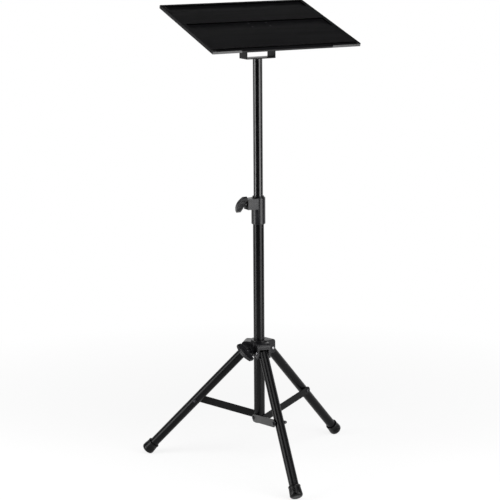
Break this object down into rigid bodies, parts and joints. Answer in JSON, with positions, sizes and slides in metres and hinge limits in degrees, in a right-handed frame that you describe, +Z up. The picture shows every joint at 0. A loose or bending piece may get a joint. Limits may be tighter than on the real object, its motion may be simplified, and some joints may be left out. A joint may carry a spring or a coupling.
{
  "type": "tripod tray stand",
  "caption": "Black tripod stand with folding braced legs, a telescopic pole with a clamp collar, and a tilting rectangular tray on a fork.",
  "frame": {"origin": "on the pole's axis at floor level, legs open", "axes": "+Z up along the pole, +X along the tray's width to its right, -Y towards the tray's front edge"},
  "size_m": [0.6798, 0.6541, 1.4738],
  "materials": {
    "black_tube": "satin black powder coat",
    "gloss_black_tube": "smooth semi-gloss black coat",
    "black_leg": "satin black powder coat",
    "black_brace": "satin black powder coat",
    "black_bracket": "satin black paint",
    "tray_sheet": "fine textured black powder coat",
    "black_plastic": "plain black moulding",
    "grey_plastic": "charcoal moulding",
    "knob_plastic": "charcoal moulding, fine grain",
    "foot_rubber": "matt black rubber",
    "steel": "zinc plated",
    "dark_steel": "black oxide"
  },
  "bodies": {
    "column": {"lower_tube": "black_tube", "tube_plug": "black_plastic", "collar": "grey_plastic", "brace_screw_left": "dark_steel", "brace_screw_right": "dark_steel", "brace_screw_front": "dark_steel"},
    "bushing": {"collar_bushing": "black_plastic"},
    "mast": {"upper_tube": "gloss_black_tube", "upper_tube_guide": "black_plastic", "fork": "black_bracket", "tilt_bolt": "dark_steel", "tilt_washer_left": "dark_steel", "tilt_washer_right": "dark_steel", "tilt_nut": "dark_steel"},
    "tray": {"tray": "tray_sheet", "tray_bracket_left": "black_bracket", "tray_bracket_right": "black_bracket"},
    "collar_clamp": {"collar_screw": "steel", "collar_knob": "knob_plastic"},
    "hub": {"hub": "grey_plastic", "hub_pin_left": "steel", "hub_pin_right": "steel", "hub_pin_front": "steel"},
    "hub_clamp": {"hub_screw": "steel", "hub_knob": "knob_plastic"},
    "leg_left": {"leg_left": "black_leg", "leg_bolt_left": "dark_steel", "foot_left": "foot_rubber"},
    "brace_left": {"brace_left": "black_brace", "brace_bolt_left": "dark_steel"},
    "leg_right": {"leg_right": "black_leg", "leg_bolt_right": "dark_steel", "foot_right": "foot_rubber"},
    "brace_right": {"brace_right": "black_brace", "brace_bolt_right": "dark_steel"},
    "leg_front": {"leg_front": "black_leg", "leg_bolt_front": "dark_steel", "foot_front": "foot_rubber"},
    "brace_front": {"brace_front": "black_brace", "brace_bolt_front": "dark_steel"}
  },
  "joints": [
    {"name": "mast_turn", "type": "hinge", "parent": "column", "child": "bushing", "pos_m": [0, 0, 0.857], "axis": [0, 0, 1], "continuous": true},
    {"name": "mast_slide", "type": "slide", "parent": "bushing", "child": "mast", "axis": [0, 0, 1], "range_m": [-0.41, 0.1]},
    {"name": "tray_tilt", "type": "hinge", "parent": "mast", "child": "tray", "pos_m": [0, 0, 1.383], "axis": [1, 0, 0], "range_deg": [-61.9, 28.1]},
    {"name": "collar_knob_turn", "type": "hinge", "parent": "column", "child": "collar_clamp", "pos_m": [-0.05996, -0.00209, 0.8555], "axis": [-0.9994, -0.0349, 0], "continuous": true},
    {"name": "hub_slide", "type": "slide", "parent": "column", "child": "hub", "axis": [0, 0, 1], "range_m": [0, 0.23216]},
    {"name": "hub_knob_turn", "type": "hinge", "parent": "hub", "child": "hub_clamp", "pos_m": [-0.05659, -0.01993, 0.38], "axis": [-0.9432, -0.3322, 0], "continuous": true},
    {"name": "leg_left_swing", "type": "hinge", "parent": "hub", "child": "leg_left", "pos_m": [-0.03303, 0.02831, 0.3765], "axis": [-0.6508, -0.7593, 0], "range_deg": [0, 42.9]},
    {"name": "brace_left_swing", "type": "hinge", "parent": "column", "child": "brace_left", "pos_m": [0, 0, 0.1485], "axis": [-0.6508, -0.7593, 0], "range_deg": [-66.02, 0]},
    {"name": "leg_right_swing", "type": "hinge", "parent": "hub", "child": "leg_right", "pos_m": [0.04103, 0.01445, 0.3765], "axis": [-0.3322, 0.9432, 0], "range_deg": [0, 42.9]},
    {"name": "brace_right_swing", "type": "hinge", "parent": "column", "child": "brace_right", "pos_m": [0, 0, 0.1485], "axis": [-0.3322, 0.9432, 0], "range_deg": [-66.02, 0]},
    {"name": "leg_front_swing", "type": "hinge", "parent": "hub", "child": "leg_front", "pos_m": [-0.008, -0.04276, 0.3765], "axis": [0.9829, -0.184, 0], "range_deg": [0, 42.9]},
    {"name": "brace_front_swing", "type": "hinge", "parent": "column", "child": "brace_front", "pos_m": [0, 0, 0.1485], "axis": [0.9829, -0.184, 0], "range_deg": [-66.02, 0]}
  ],
  "couplings": [
    {"joint": "leg_left_swing", "follows": "hub_slide", "rad_per_m": 3.2251},
    {"joint": "brace_left_swing", "follows": "hub_slide", "rad_per_m": -4.963},
    {"joint": "leg_right_swing", "follows": "hub_slide", "rad_per_m": 3.2251},
    {"joint": "brace_right_swing", "follows": "hub_slide", "rad_per_m": -4.963},
    {"joint": "leg_front_swing", "follows": "hub_slide", "rad_per_m": 3.2251},
    {"joint": "brace_front_swing", "follows": "hub_slide", "rad_per_m": -4.963}
  ]
}
